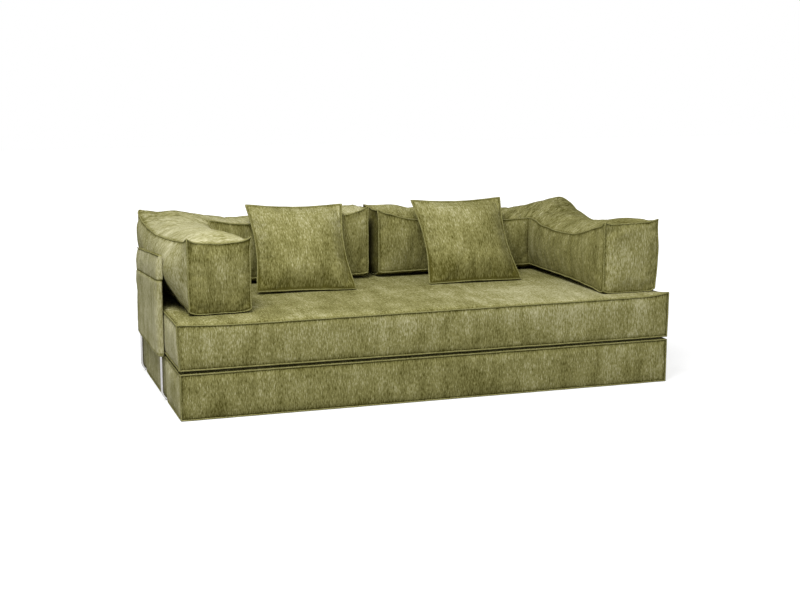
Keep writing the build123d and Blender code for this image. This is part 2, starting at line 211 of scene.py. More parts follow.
def blend(tree, share, stops):
    """A color ramp: share picks a colour between the stops."""
    return tree.node("ShaderNodeValToRGB", {"stops": stops}, {"Fac": share})


def written(tree, name):
    """A value that the mesh carries at each point under this name."""
    return tree.node("ShaderNodeAttribute", {"attribute_name": name}, output="Fac")


def chenille(name, dark, middle, light, tuft_size=(0.0031, 0.0135), depth=0.0014):
    """Chenille on the piece's own map in metres, whose V runs along the tufts."""
    made, tree = new_material(name)
    nap = tree.node("ShaderNodeUVMap", {"uv_map": "nap"})

    def tufts(size, detail=2.0):
        laid = tree.node(
            "ShaderNodeMapping", None, {"Vector": nap, "Scale": (1 / size[0], 1 / size[1], 1)}
        )
        return tree.node(
            "ShaderNodeTexNoise",
            {"noise_dimensions": "2D"},
            {"Vector": laid, "Scale": 1.0, "Detail": detail, "Roughness": 0.6},
        )

    coarse_size = (tuft_size[0] * 1.8, tuft_size[1] * 2.3)
    pile = tufts(tuft_size) * 0.6 + tufts(coarse_size) * 0.4
    bands = tufts(band_size)
    patches = tufts(patch_size, 3.0)
    # Thin fold lines on the bolsters' tops, dented in the bump and darkened with painted shade.
    lines = tree.math("ABSOLUTE", tufts(fold_size) - 0.5, 0.0)
    fold = tree.math("MAXIMUM", 1 - lines * fold_sharpness, 0.0) * written(tree, "crease")
    # Random bands and patches of tone, plus the painted light and shade that each mesh carries.
    wear_and_painted_light = (bands - 0.5) * wear_contrast + (patches - 0.5) * wear_contrast + written(tree, "brushed")
    # Painted shade along the seams and in the fold lines.
    painted_groove_shade = written(tree, "seam") * seam_painted_shade + fold * fold_painted_shade
    shade = (pile - 0.5) * pile_contrast + wear_and_painted_light + 0.5 - painted_groove_shade
    color = blend(tree, shade, [(0.14, dark), (0.50, middle), (0.90, light)])
    bump = tree.node(
        "ShaderNodeBump",
        None,
        {"Strength": 0.75, "Distance": depth, "Height": pile * 1.6 + bands * 0.6 - fold * 1.2},
    )
    cloth = tree.node(
        "ShaderNodeBsdfPrincipled", None, {"Base Color": color, "Normal": bump, **pile_finish}
    )
    finish_surface(tree, cloth)
    return made


olive_chenille = chenille(
    "olive_chenille", (0.072, 0.065, 0.012), (0.240, 0.226, 0.083), (0.54, 0.515, 0.32)
)
underside_cloth = chenille(
    "underside_cloth",
    (0.12, 0.115, 0.05),
    (0.2, 0.19, 0.09),
    (0.27, 0.26, 0.13),
    tuft_size=(0.0016, 0.0016),
    depth=0.0004,
)

# Every padded piece is a cover of several panels, sewn edge to edge round a soft filling. Each
# starts as a block cut into a grid, is blown up between its sewn edges and then smoothed.
blow_frames = 20
nearly = 1e-5
# Without a seed, noise vectors start from the clock and differ from run to run.
noise.seed_set(11)


def quilt_block(cuts):
    """A unit block from 0 to 1 with its faces cut into a grid, so many cells along each axis."""
    block = bmesh.new()
    bmesh.ops.create_cube(block, size=1, matrix=Matrix.Translation((0.5, 0.5, 0.5)))
    for axis, count in enumerate(cuts):
        along = [
            edge
            for edge in block.edges
            if abs((edge.verts[0].co - edge.verts[1].co)[axis]) > nearly
        ]
        bmesh.ops.subdivide_edges(block, edges=along, cuts=count - 1, use_grid_fill=True)
    return block


def facing(face):
    """The axis along which a face of a block looks most."""
    return max(range(3), key=lambda axis: abs(face.normal[axis]))


def soft_piece(name, block, materials):
    """Turns a finished block into a smooth shaded object of the scene, its faces outward."""
    block.normal_update()
    bmesh.ops.recalc_face_normals(block, faces=block.faces)
    mesh = bpy.data.meshes.new(name)
    block.to_mesh(mesh)
    block.free()
    for face in mesh.polygons:
        face.use_smooth = True
    piece = bpy.data.objects.new(name, mesh)
    for material in materials:
        piece.data.materials.append(material)
    scene.collection.objects.link(piece)
    return piece


def puff(piece, sewn, room, keep_in=None, growth=0.02, pressure=4.0):
    """Blows a cover up between its sewn points. room(co) is how far a point there may move."""
    start = [vertex.co.copy() for vertex in piece.data.vertices]
    group = piece.vertex_groups.new(name="sewn")
    group.add(sorted(sewn), 1.0, "REPLACE")
    cloth = piece.modifiers.new("cloth", "CLOTH")
    how = cloth.settings
    how.quality = 4
    how.mass = 0.3
    how.tension_stiffness = how.compression_stiffness = 12
    how.shear_stiffness = 5
    how.bending_stiffness = 0.6
    how.vertex_group_mass = "sewn"
    how.use_pressure = True
    how.uniform_pressure_force = pressure
    how.shrink_min = -growth
    how.effector_weights.gravity = 0
    cloth.collision_settings.use_collision = False
    cloth.point_cache.frame_start = 1
    cloth.point_cache.frame_end = blow_frames
    for step in range(blow_frames):
        scene.frame_set(step + 1)
    blown = piece.evaluated_get(bpy.context.evaluated_depsgraph_get())
    ends = [vertex.co.copy() for vertex in blown.data.vertices]
    piece.modifiers.remove(cloth)
    piece.vertex_groups.remove(group)
    scene.frame_set(1)
    for vertex, old, new in zip(piece.data.vertices, start, ends):
        move = new - old
        most = room(old)
        if move.length > most:
            move *= most / move.length
        vertex.co = old + move
    if keep_in:
        for vertex in piece.data.vertices:
            vertex.co = keep_in(vertex.co)
    piece.data.update()


def refine(piece, wall=0.0, sewn=()):
    """One level of subdivision, applied last; wall thickens an open shell, sewn edges stay sharp."""
    if sewn:
        held = set(sewn)
        sharp = piece.data.attributes.new("crease_edge", "FLOAT", "EDGE")
        for edge, value in zip(piece.data.edges, sharp.data):
            value.value = 1.0 if held.issuperset(edge.vertices) else 0.0
    if wall:
        thick = piece.modifiers.new("thick", "SOLIDIFY")
        thick.thickness = wall
        thick.offset = -1
    smooth = piece.modifiers.new("smooth", "SUBSURF")
    smooth.levels = smooth.render_levels = 1
    done = bpy.data.meshes.new_from_object(piece.evaluated_get(bpy.context.evaluated_depsgraph_get()))
    piece.modifiers.clear()
    piece.data = done


def mark_seam_shade(piece, places, reach):
    """Writes how near each point lies to a sewn place, from 0 to 1, for the painted shade along it."""
    near = piece.data.attributes.new("seam", "FLOAT", "POINT")
    for vertex, value in zip(piece.data.vertices, near.data):
        gap = min(place(vertex.co) for place in places)
        value.value = max(0.0, 1 - gap / reach) ** 1.5


def paint_light_and_shade(piece, light_at):
    """Writes painted light and shade at each point, from a function of place and normal: paler above 0,
    darker below.
    """
    light_and_shade = piece.data.attributes.new("brushed", "FLOAT", "POINT")
    for vertex, value in zip(piece.data.vertices, light_and_shade.data):
        value.value = light_at(vertex.co, vertex.normal)


def eased(value, low, high):
    """0 at low, 1 at high, with a soft start and stop."""
    part = min(max((value - low) / (high - low), 0.0), 1.0)
    return part * part * (3 - 2 * part)


# The two slabs are foam in a boxed cover: a top and a bottom panel and four side panels, sewn
# edge to edge. The seat slab lies loose on the base slab, and both have the same size.
slab_half = Vector((0.950, 0.480))
slab_thick = 0.174
seat_low = 0.1743
slab_bulge = 0.006
free_end_bulge = 1.7
free_end_rear = -0.21
slab_cells = (112, 57, 10)
slab_seam_shade_reach = 0.013
hair = 1e-4
# The bracket feet run under the base slab, where its cover is dented to clear them. The arm
# brackets stand at x = leg_x on either side and the back brackets at y = leg_y.
tube_radius = 0.00635
tube_bend = 0.036
tube_reach = 0.380
leg_x = 0.96685
leg_y = 0.49685
arm_feet_y = (-0.170, 0.340)
back_feet_x = (0.060, 0.55685)
dent_half = 0.016
dent_flat = 0.008
dent_room = 0.0008
dent_end_room = 0.012
foot_runs = [("x", side, y) for side in (-1, 1) for y in arm_feet_y]
foot_runs += [("y", side, x) for side in (-1, 1) for x in back_feet_x]
# The seat's front corners, from the left: side, lift, how far outward, and how far it reaches.
seat_ears = ((-1, 0.010, 0.009, 0.24), (1, 0.013, 0.002, 0.11))
seat_ear_forward = 0.002


def above_feet(co, grow=0.0):
    """Lifts a point of the base slab's cover off the bracket feet that run under it."""
    high = co.z
    for run, side, across in foot_runs:
        if run == "x":
            off, inward = abs(co.y - across), leg_x - side * co.x
        else:
            off, inward = abs(co.x - side * across), leg_y - co.y
        if inward < 0 or inward > tube_reach + dent_end_room or off > dent_half + grow:
            continue
        rise = 2 * tube_radius + dent_room + grow
        if inward < tube_bend:
            inner_bend = tube_bend - tube_radius
            back = min((tube_bend - inward) / inner_bend, 0.98)
            rise += inner_bend * (1 - math.sqrt(1 - back**2))
        depth = min(1.0, max(0.0, (dent_half + grow - off) / (dent_half - dent_flat)))
        high = max(high, rise * depth)
    return Vector((co.x, co.y, high))


def corner_ear(co):
    """The seat's two front corners, where three seams meet, stand up and out a little."""
    moved = Vector(co)
    high = eased(co.z, seat_low - 0.05, seat_low + slab_thick)
    for side, lift, out, reach in seat_ears:
        near = max(0.0, 1 - math.hypot(co.x - side * slab_half.x, co.y + slab_half.y) / reach) ** 2
        moved += Vector((side * out * near * high, -seat_ear_forward * near * high, lift * near * high**2))
    return moved


def slab_cover(name, low, top_shoulder, bottom_shoulder, on_feet):
    """The six panels of one slab, blown up a little between the seams on their edges."""
    seam_low = low + bottom_shoulder

    def seam_high(x):
        share = (x + slab_half.x) / (2 * slab_half.x)
        return low + slab_thick - top_shoulder[0] * (1 - share) - top_shoulder[1] * share

    block = quilt_block(slab_cells)
    nap = block.loops.layers.uv.new("nap")
    for face in block.faces:
        axis = facing(face)
        face.material_index = 1 if on_feet and face.normal.z < -0.5 else 0
        for loop in face.loops:
            x = (loop.vert.co.x - 0.5) * 2 * slab_half.x
            y = (loop.vert.co.y - 0.5) * 2 * slab_half.y
            z = loop.vert.co.z * slab_thick
            shift = low * 7 + axis * 3.1 + (0.9 if face.normal[axis] > 0 else 0)
            u, v = ((y, z), (x, z), (x, y))[axis]
            loop[nap].uv = (u + shift, v + shift)
    for vertex in block.verts:
        co = vertex.co
        x = (co.x - 0.5) * 2 * slab_half.x
        y = (co.y - 0.5) * 2 * slab_half.y
        vertex.co = (x, y, seam_low + co.z * (seam_high(x) - seam_low))
    if on_feet:
        for run, side, across in foot_runs:
            for off in (-dent_half, -dent_flat, dent_flat, dent_half):
                place = (0, across + off, 0) if run == "x" else (side * across + off, 0, 0)
                normal = (0, 1, 0) if run == "x" else (1, 0, 0)
                if run == "y" or side < 0:
                    everything = [*block.verts, *block.edges, *block.faces]
                    bmesh.ops.bisect_plane(
                        block, geom=everything, dist=nearly, plane_co=place, plane_no=normal
                    )
    piece = soft_piece(name, block, [olive_chenille, underside_cloth])
    sewn = []
    for vertex in piece.data.vertices:
        on = (
            abs(abs(vertex.co.x) - slab_half.x) < hair,
            abs(abs(vertex.co.y) - slab_half.y) < hair,
            min(abs(vertex.co.z - seam_low), abs(vertex.co.z - seam_high(vertex.co.x))) < hair,
        )
        if sum(on) >= 2:
            sewn.append(vertex.index)

    def room(co):
        if abs(co.z - seam_high(co.x)) < hair:
            full = low + slab_thick - seam_high(co.x)
            return full * (0.76 + 0.24 * noise.noise(Vector((co.x * 5, co.y * 6, low * 9))))
        if abs(co.z - seam_low) < hair:
            return bottom_shoulder
        free_end = abs(abs(co.x) - slab_half.x) < hair and co.y < free_end_rear
        most = slab_bulge * (free_end_bulge if free_end else 1.0)
        return most * (0.9 + 0.35 * noise.noise(Vector((co.x * 9, co.y * 9, low * 9 + co.z * 6))))

    def keep_in(co):
        flat = Vector((co.x, co.y, min(max(co.z, low), low + slab_thick)))
        return above_feet(flat) if on_feet else flat

    puff(piece, sewn, room, keep_in)
    refine(piece, sewn=sewn)
    for vertex in piece.data.vertices:
        vertex.co = keep_in(vertex.co)

    def from_corner(co):
        return max(min(slab_half.x - abs(co.x), slab_half.y - abs(co.y)), 0)

    mark_seam_shade(
        piece,
        [
            lambda co: math.hypot(co.z - seam_low, from_corner(co)),
            lambda co: math.hypot(co.z - seam_high(co.x), from_corner(co)),
            lambda co: math.hypot(max(slab_half.x - abs(co.x), 0), max(slab_half.y - abs(co.y), 0)),
        ],
        slab_seam_shade_reach,
    )
    if not on_feet:
        for vertex in piece.data.vertices:
            vertex.co = corner_ear(vertex.co)
    return piece, seam_low, seam_high


def base_painted_light(co, normal):
    """Painted light and shade on the base slab: pale on its lit left end, painted shade toward the floor
    and on the left.
    """
    if normal.x < -0.6:
        return 0.15
    return 0.07 * eased(co.x, 0.1, 0.7) - 0.09 - 0.04 * eased(co.z, 0.09, 0.0)


def seat_painted_light(co, normal):
    """Painted light and shade on the seat slab: palest on its lit left end and on the top toward the front
    right, painted shade low on its sides.
    """
    if normal.z > 0.5:
        return 0.18 * eased(co.x, -0.10, 0.50) * eased(co.y, 0.15, -0.3) - 0.05
    if normal.x < -0.6:
        return 0.26
    return 0.06 * eased(co.x, 0.1, 0.7) - 0.02 - 0.03 * eased(co.z, 0.30, 0.20)


# Each slab: its body, its underside, how far its top panel rises above the seam at the left and
# at the right end, how far its bottom panel hangs below the seam, and its painted light and shade.
sides = ("front", "rear", "left", "right")
slab_seams = {}
for body, low, top_shoulder, bottom_shoulder, light_and_shade in (
    ("base", 0.0, (0.0085, 0.0065), 0.0030, base_painted_light),
    ("seat", seat_low, (0.0150, 0.0070), 0.0065, seat_painted_light),
):
    on_feet = body == "base"
    cover, seam_low, seam_high = slab_cover(f"{body}_cover", low, top_shoulder, bottom_shoulder, on_feet)
    slab_seams[body] = (seam_low, seam_high)
    paint_light_and_shade(cover, light_and_shade)
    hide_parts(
        f"{body}_foam",
        f"{body}_top_panel",
        f"{body}_bottom_panel",
        *(f"{body}_{side}_panel" for side in sides),
    )
    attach(cover, body)


# Each seam stands out as a narrow welt: the two cut edges, folded over in the same chenille and
# stitched through. It runs as a light ridge along the painted shade the cover carries by the seam.
slab_welt_radius = 0.0028
welt_stands_off = 0.0014
welt_over_foot = 0.003
welt_spacing = 0.008


def grain(tree, scale, detail):
    """Even noise through the whole piece, in its own coordinates."""
    place = tree.node("ShaderNodeTexCoord", output="Object")
    return tree.node(
        "ShaderNodeTexNoise",
        {"noise_dimensions": "3D"},
        {"Vector": place, "Scale": scale, "Detail": detail},
    )


welt_cloth, tree = new_material("welt_chenille")
tuft = grain(tree, 260.0, 3.0)
patch = grain(tree, 14.0, 2.0)
welt_color = blend(
    tree,
    tuft * 0.75 + patch * 0.25,
    [(0.25, (0.10, 0.093, 0.024)), (0.52, (0.22, 0.208, 0.078)), (0.8, (0.38, 0.36, 0.18))],
)
welt_bump = tree.node(
    "ShaderNodeBump", None, {"Strength": 0.6, "Distance": 0.0012, "Height": tuft}
)
finish_surface(
    tree,
    tree.node(
        "ShaderNodeBsdfPrincipled",
        None,
        {"Base Color": welt_color, "Normal": welt_bump, **pile_finish},
    ),
)


def round_cord(name, lines, radius, material, wander=0.0006, roundness=2):
    """Round cords or tubes along lines of points; each line says if it closes."""
    cord = bpy.data.curves.new(name, "CURVE")
    cord.dimensions = "3D"
    cord.bevel_depth = radius
    cord.bevel_resolution = roundness
    cord.use_fill_caps = True
    for points, closed in lines:
        spline = cord.splines.new("POLY")
        spline.points.add(len(points) - 1)
        for point, co in zip(spline.points, points):
            off = noise.noise_vector(Vector(co) * 24) * wander
            point.co = (co[0] + off.x, co[1] + off.y, co[2] + off.z, 1)
        spline.use_cyclic_u = closed
    holder = bpy.data.objects.new(name, cord)
    scene.collection.objects.link(holder)
    mesh = bpy.data.meshes.new_from_object(holder.evaluated_get(bpy.context.evaluated_depsgraph_get()))
    bpy.data.objects.remove(holder)
    mesh.name = name
    mesh.materials.clear()
    mesh.materials.append(material)
    for face in mesh.polygons:
        face.use_smooth = True
    piece = bpy.data.objects.new(name, mesh)
    scene.collection.objects.link(piece)
    return piece


def steps(start, end, spacing):
    """Evenly spaced points from start up to, but not on, end."""
    start, end = Vector(start), Vector(end)
    count = max(2, round((end - start).length / spacing))
    return [start.lerp(end, step / count) for step in range(count)]


def slab_loop(high):
    """The line of a slab's seam, once round, where high gives its height at each place."""
    x, y = slab_half
    corners = [(-x, -y, high(-x)), (x, -y, high(x)), (x, y, high(x)), (-x, y, high(-x))]
    line = []
    for start, end in zip(corners, corners[1:] + corners[:1]):
        line += steps(start, end, welt_spacing)
    return line


def stood_off(line):
    """The same line, a little outside the slab's edges."""
    by = welt_stands_off
    return [Vector((co.x + math.copysign(by, co.x), co.y + math.copysign(by, co.y), co.z)) for co in line]


for body in ("base", "seat"):
    seam_low, seam_high = slab_seams[body]
    low_line = slab_loop(lambda x: seam_low)
    if body == "base":
        low_line = [above_feet(co, welt_over_foot) for co in low_line]
    lines = [(low_line, True), (slab_loop(seam_high), True)]
    for x in (-slab_half.x, slab_half.x):
        for y in (-slab_half.y, slab_half.y):
            top = Vector((x, y, seam_high(x)))
            lines.append((steps((x, y, seam_low), top, welt_spacing) + [top], False))
    lines = [(stood_off(line), closed) for line, closed in lines]
    if body == "seat":
        lines = [([corner_ear(co) for co in line], closed) for line, closed in lines]
    piping = round_cord(f"{body}_welts", lines, slab_welt_radius, welt_cloth)
    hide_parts(f"{body}_top_welt", f"{body}_bottom_welt")
    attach(piping, body)


# Four brackets carry the bolsters. Each is one length of chromed steel tube, bent into a hoop
# whose two feet run in under the base slab, with a black plastic plug in the end of each foot.
steel, tree = new_material("chromed_tube")
smear = grain(tree, 45.0, 4.0)
finish_surface(
    tree,
    tree.node(
        "ShaderNodeBsdfPrincipled",
        None,
        {
            "Base Color": blend(tree, smear, [(0.3, (0.44, 0.43, 0.44)), (0.7, (0.54, 0.53, 0.54))]),
            "Metallic": 1.0,
            "Roughness": smear * 0.14 + 0.15,
        },
    ),
)
plastic, tree = new_material("black_plug")
speck = grain(tree, 900.0, 2.0)
plug_bump = tree.node(
    "ShaderNodeBump", None, {"Strength": 0.2, "Distance": 0.0002, "Height": speck}
)
finish_surface(
    tree,
    tree.node(
        "ShaderNodeBsdfPrincipled",
        None,
        {
            "Base Color": blend(tree, speck, [(0.3, (0.03, 0.03, 0.03)), (0.7, (0.055, 0.055, 0.055))]),
            "Roughness": speck * 0.2 + 0.45,
            "Normal": plug_bump,
        },
    ),
)
hoop_high = 0.410
hoop_bend = 0.042
arm_hoop = (0.085, 0.510)
back_hoop = (0.308425, 0.49685)
plug_lip = 0.003
plug_round = 0.0008


def bent_line(corners, radii, arc_steps=12):
    """Points along a tube through the corners, with an even arc at each one between the ends."""
    line = [Vector(corners[0])]
    for before, corner, after, radius in zip(corners, corners[1:], corners[2:], radii):
        before, corner, after = Vector(before), Vector(corner), Vector(after)
        back, on = (before - corner).normalized(), (after - corner).normalized()
        center = corner + (back + on) * radius
        for step in range(arc_steps + 1):
            turn = math.pi / 2 * step / arc_steps
            line.append(center - on * radius * math.cos(turn) - back * radius * math.sin(turn))
    return line + [Vector(corners[-1])]


# Each bracket: the middle between its legs, the way its crossbar runs, the way its feet run in,
# and the width between its legs.
bracket_places = {
    "left_arm": (Vector((-leg_x, arm_hoop[0], 0)), Vector((0, 1, 0)), Vector((1, 0, 0)), arm_hoop[1]),
    "right_arm": (Vector((leg_x, arm_hoop[0], 0)), Vector((0, 1, 0)), Vector((-1, 0, 0)), arm_hoop[1]),
    "left_back": (Vector((-back_hoop[0], leg_y, 0)), Vector((1, 0, 0)), Vector((0, -1, 0)), back_hoop[1]),
    "right_back": (Vector((back_hoop[0], leg_y, 0)), Vector((1, 0, 0)), Vector((0, -1, 0)), back_hoop[1]),
}
for name, (middle, along, inward, width) in bracket_places.items():
    up = Vector((0, 0, 1))
    feet = [middle + along * (end * width / 2) + up * tube_radius for end in (-1, 1)]
    tops = [middle + along * (end * width / 2) + up * hoop_high for end in (-1, 1)]
    ends = [foot + inward * tube_reach for foot in feet]
    route = bent_line(
        [ends[0], feet[0], tops[0], tops[1], feet[1], ends[1]],
        [tube_bend, hoop_bend, hoop_bend, tube_bend],
    )
    tube = round_cord(f"{name}_tube", [(route, False)], tube_radius, steel, wander=0.0, roundness=10)
    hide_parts(f"{name}_bracket", f"{name}_bracket_feet")
    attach(tube, "base")

    plug = bmesh.new()
    for end in ends:
        turn = inward.to_track_quat("Z", "Y").to_matrix().to_4x4()
        stand = Matrix.Translation(end + inward * (plug_lip / 2)) @ turn
        bmesh.ops.create_cone(
            plug,
            cap_ends=True,
            segments=28,
            radius1=tube_radius,
            radius2=tube_radius,
            depth=plug_lip,
            matrix=stand,
        )
    rims = [edge for edge in plug.edges if len(edge.link_faces) == 2 and edge.calc_face_angle() > 1]
    bmesh.ops.bevel(
        plug,
        geom=rims,
        offset=plug_round,
        offset_type="OFFSET",
        segments=2,
        profile=0.5,
        affect="EDGES",
        material=-1,
    )
    caps = soft_piece(f"{name}_plug_caps", plug, [plastic])
    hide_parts(f"{name}_bracket_plugs")
    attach(caps, "base")


# Each bolster is one L-shaped cushion: an arm log and a back log of soft filling in one cover
# that is mitred at the corner. The seams pull the corners up, and the panels swell between.
bolster_low = 0.3486
over_seat = 0.0004
bolster_cells = (156, 20, 22)
cover_size = (1.75, 0.23, 0.26)
outer_swell = 0.006
panel_swell = 0.015
bolster_seam_shade_reach = 0.015
bolster_welt_radius = 0.0030
# The fold lines' painted shade fades from the mitre along each log to a least share.
fold_least = 0.25
fold_reach = 0.13
# Where the logs stand: their width, the inner corner's distance from the rear, the back log's
# inner face, and the middle and half width of the parting between the two bolsters.
log_width = 0.232
inner_corner_rear = 0.210
back_inner_y = 0.270
arm_end_inset = 0.004
parting_x = -0.010
parting_half = 0.024
# The panels between the seams: the outer side swells out to the sleeve, the inner side is a
# little hollow, and the foot of the outer side tucks in.
corner_crowding = 0.06
least_belly = 0.012
sleeve_gap = 0.010
inner_hollow = 0.011
foot_tuck = 0.018
left_corner_crown = 0.016
right_back_drop = 0.012
# An open end's top corners are pulled out to ears, and its foot corners are tucked in.
ear_reach = 0.042
ear_out = 0.002
ear_end = 0.006
ear_lift = 0.010
rear_ear_share = 0.1
tuck_reach = 0.026
tuck_height = 0.25
tuck_in = 0.002
tuck_lift = 0.001
seam_wave = 0.0035
wave_rate = 13
# Each row: the share of the way from a log's open end to the mitre, and the heights of the
# inner and the outer top seam there. The last row carries the curve on past the mitre.
seam_rows = {
    "left_arm": [
        (0, 0.262, 0.264), (0.10, 0.254, 0.253), (0.22, 0.244, 0.243),
        (0.40, 0.233, 0.235), (0.62, 0.228, 0.233), (0.84, 0.234, 0.247),
        (0.94, 0.248, 0.272), (1, 0.262, 0.292), (1.06, 0.248, 0.272),
    ],
    "left_back": [
        (0, 0.289, 0.281), (0.06, 0.276, 0.273), (0.18, 0.257, 0.259),
        (0.34, 0.245, 0.246), (0.56, 0.238, 0.240), (0.82, 0.246, 0.252),
        (0.94, 0.258, 0.274), (1, 0.262, 0.292), (1.06, 0.258, 0.274),
    ],
    "right_arm": [
        (0, 0.268, 0.274), (0.08, 0.254, 0.266), (0.20, 0.226, 0.250),
        (0.34, 0.205, 0.234), (0.56, 0.195, 0.215), (0.80, 0.204, 0.238),
        (0.91, 0.214, 0.268), (1, 0.224, 0.286), (1.09, 0.214, 0.268),
    ],
    "right_back": [
        (0, 0.272, 0.280), (0.07, 0.258, 0.268), (0.18, 0.238, 0.252),
        (0.34, 0.226, 0.240), (0.56, 0.219, 0.234), (0.82, 0.220, 0.250),
        (0.93, 0.222, 0.276), (1, 0.224, 0.286), (1.07, 0.222, 0.276),
    ],
}
# How full the log is at a share of its length, and how high its underside's edges climb there.
full_row = [(0, 0.0), (0.04, 0.50), (0.10, 0.92), (0.20, 1.0), (0.80, 1.0), (1, 1.0)]
rise_rows = {
    "arm": [(0, 0.001), (0.12, 0.011), (0.35, 0.020), (1, 0.024)],
    "back": [(0, 0.017), (0.20, 0.021), (1, 0.024)],
}


def follow(rows, share, column):
    """Smooth curve through one column of a table, read at a share of the way."""
    for index in range(len(rows) - 1):
        if share <= rows[index + 1][0] or index == len(rows) - 2:
            break
    first, second = rows[index], rows[index + 1]
    before = rows[max(index - 1, 0)]
    after = rows[min(index + 2, len(rows) - 1)]
    span = second[0] - first[0]
    part = (share - first[0]) / span
    slope_in = (second[column] - before[column]) / (second[0] - before[0]) * span
    slope_out = (after[column] - first[column]) / (after[0] - first[0]) * span
    cube, square = part**3, part**2
    return (
        (2 * cube - 3 * square + 1) * first[column]
        + (cube - 2 * square + part) * slope_in
        + (3 * square - 2 * cube) * second[column]
        + (cube - square) * slope_out
    )


class BolsterForm:
    """Where the sewn edges of one bolster run. Along goes 0 to 1 from arm end to back end."""

    def __init__(
        self, name, side, arm_length, end_width, toe_in, corner_room, round_corner, end_belly, sag, crown
    ):
        self.name = name
        self.crown = dict(zip(("arm", "back"), crown))
        self.sag = {"arm": sag, "back": 0.0}
        self.end_belly = end_belly
        self.side = side
        self.round_corner = round_corner
        toe = math.atan2(toe_in, arm_length)
        self.corner = Vector((side * slab_half.x, slab_half.y))
        arm_along = Vector((-side * math.sin(toe), -math.cos(toe)))
        arm_across = Vector((-side * math.cos(toe), math.sin(toe)))
        inner_run = (inner_corner_rear + log_width * math.sin(toe)) / math.cos(toe)
        self.inner_corner = self.corner + arm_across * (log_width + corner_room) + arm_along * inner_run
        end = self.corner + arm_along * (arm_length - arm_end_inset)
        back_x = parting_x + side * parting_half
        self.ends = {
            "arm": (end + arm_across * log_width, end + arm_across * (log_width - end_width)),
            "back": (Vector((back_x, back_inner_y)), Vector((back_x, slab_half.y))),
        }

    def rounded(self, outer, log):
        """The outer edge's point, moved in where the corner is rounded off."""
        left = (outer - self.corner).length
        if left >= self.round_corner:
            return outer
        part = (1 - left / self.round_corner) / 2
        start, stop = (
            self.corner + (self.ends[run][1] - self.corner).normalized() * self.round_corner
            for run in (("arm", "back") if log == "arm" else ("back", "arm"))
        )
        return start.lerp(self.corner, part).lerp(self.corner.lerp(stop, part), part)

    def crown_at(self, log, share):
        """How high the top panel stands over its seams, midway between them."""
        crown = self.crown[log]
        if self.side < 0:
            crown += (left_corner_crown - crown) * eased(share, 0.62, 1)
        elif log == "back":
            crown -= right_back_drop * eased(share, 0.4, 0.8)
        return crown

    def place(self, along, across, high):
        """Point of the cover: across goes 0 to 1 from inner to outer, high from 0 to 1."""
        log = "arm" if along <= 0.5 else "back"
        share = along * 2 if along <= 0.5 else 2 - along * 2
        rows = seam_rows[f"{self.name}_{log}"]
        ends = self.ends[log]
        even = share + corner_crowding * math.sin(math.pi * share) * (1 - share)
        inner = ends[0].lerp(self.inner_corner, even)
        outer = ends[1].lerp(self.corner, even)
        gap = leg_x - abs(outer.x) if log == "arm" else leg_y - outer.y
        outer = self.rounded(outer, log)
        sideways = (outer - inner).normalized()
        lengthways = (ends[1] - self.corner).normalized()
        full = follow(full_row, share, 1)
        top = follow(rows, share, 1) * (1 - across) + follow(rows, share, 2) * across
        swell = 4 * across * (1 - across)
        top += (self.crown_at(log, share) * full - self.sag[log] * (1 - full)) * swell
        low = follow(rise_rows[log], share, 1) * (1 - swell)
        z = low + (top - low) * high

        away = eased(share, 0, 0.18)
        belly = max(least_belly, gap - sleeve_gap) * away + self.end_belly * (1 - away)
        skew = 1.2 + 0.4 * eased(share, 0.16, 0.30)
        shift = across * belly * math.sin(math.pi * high**skew)
        shift -= (1 - across) * inner_hollow * 4 * high * (1 - high) * away
        shift -= foot_tuck * full * (1 - high) ** 1.5 * across
        flat = inner.lerp(outer, across) + sideways * shift

        from_end = share * (ends[1] - self.corner).length
        near = math.hypot(from_end, min(across, 1 - across) * cover_size[1])
        ear = max(0.0, 1 - math.hypot(near, (1 - high) * z) / ear_reach) ** 2
        if log == "back" and across > 0.5:
            ear *= rear_ear_share
        tuck = max(0.0, 1 - math.hypot(near, high * tuck_height) / tuck_reach) ** 2
        flat += sideways * (ear_out * ear - tuck_in * tuck) * (1 if across > 0.5 else -1)
        flat += lengthways * (ear_end * ear - tuck_in * tuck)
        z += ear_lift * ear + tuck_lift * tuck
        edge = 1 - 4 * high * (1 - high)
        rippled = Vector((flat.x * wave_rate, flat.y * wave_rate, high * 3 + across * 5))
        wave = noise.noise_vector(rippled) * seam_wave * edge
        return Vector((flat.x + wave.x, flat.y + wave.y, bolster_low + z + wave.z * high))


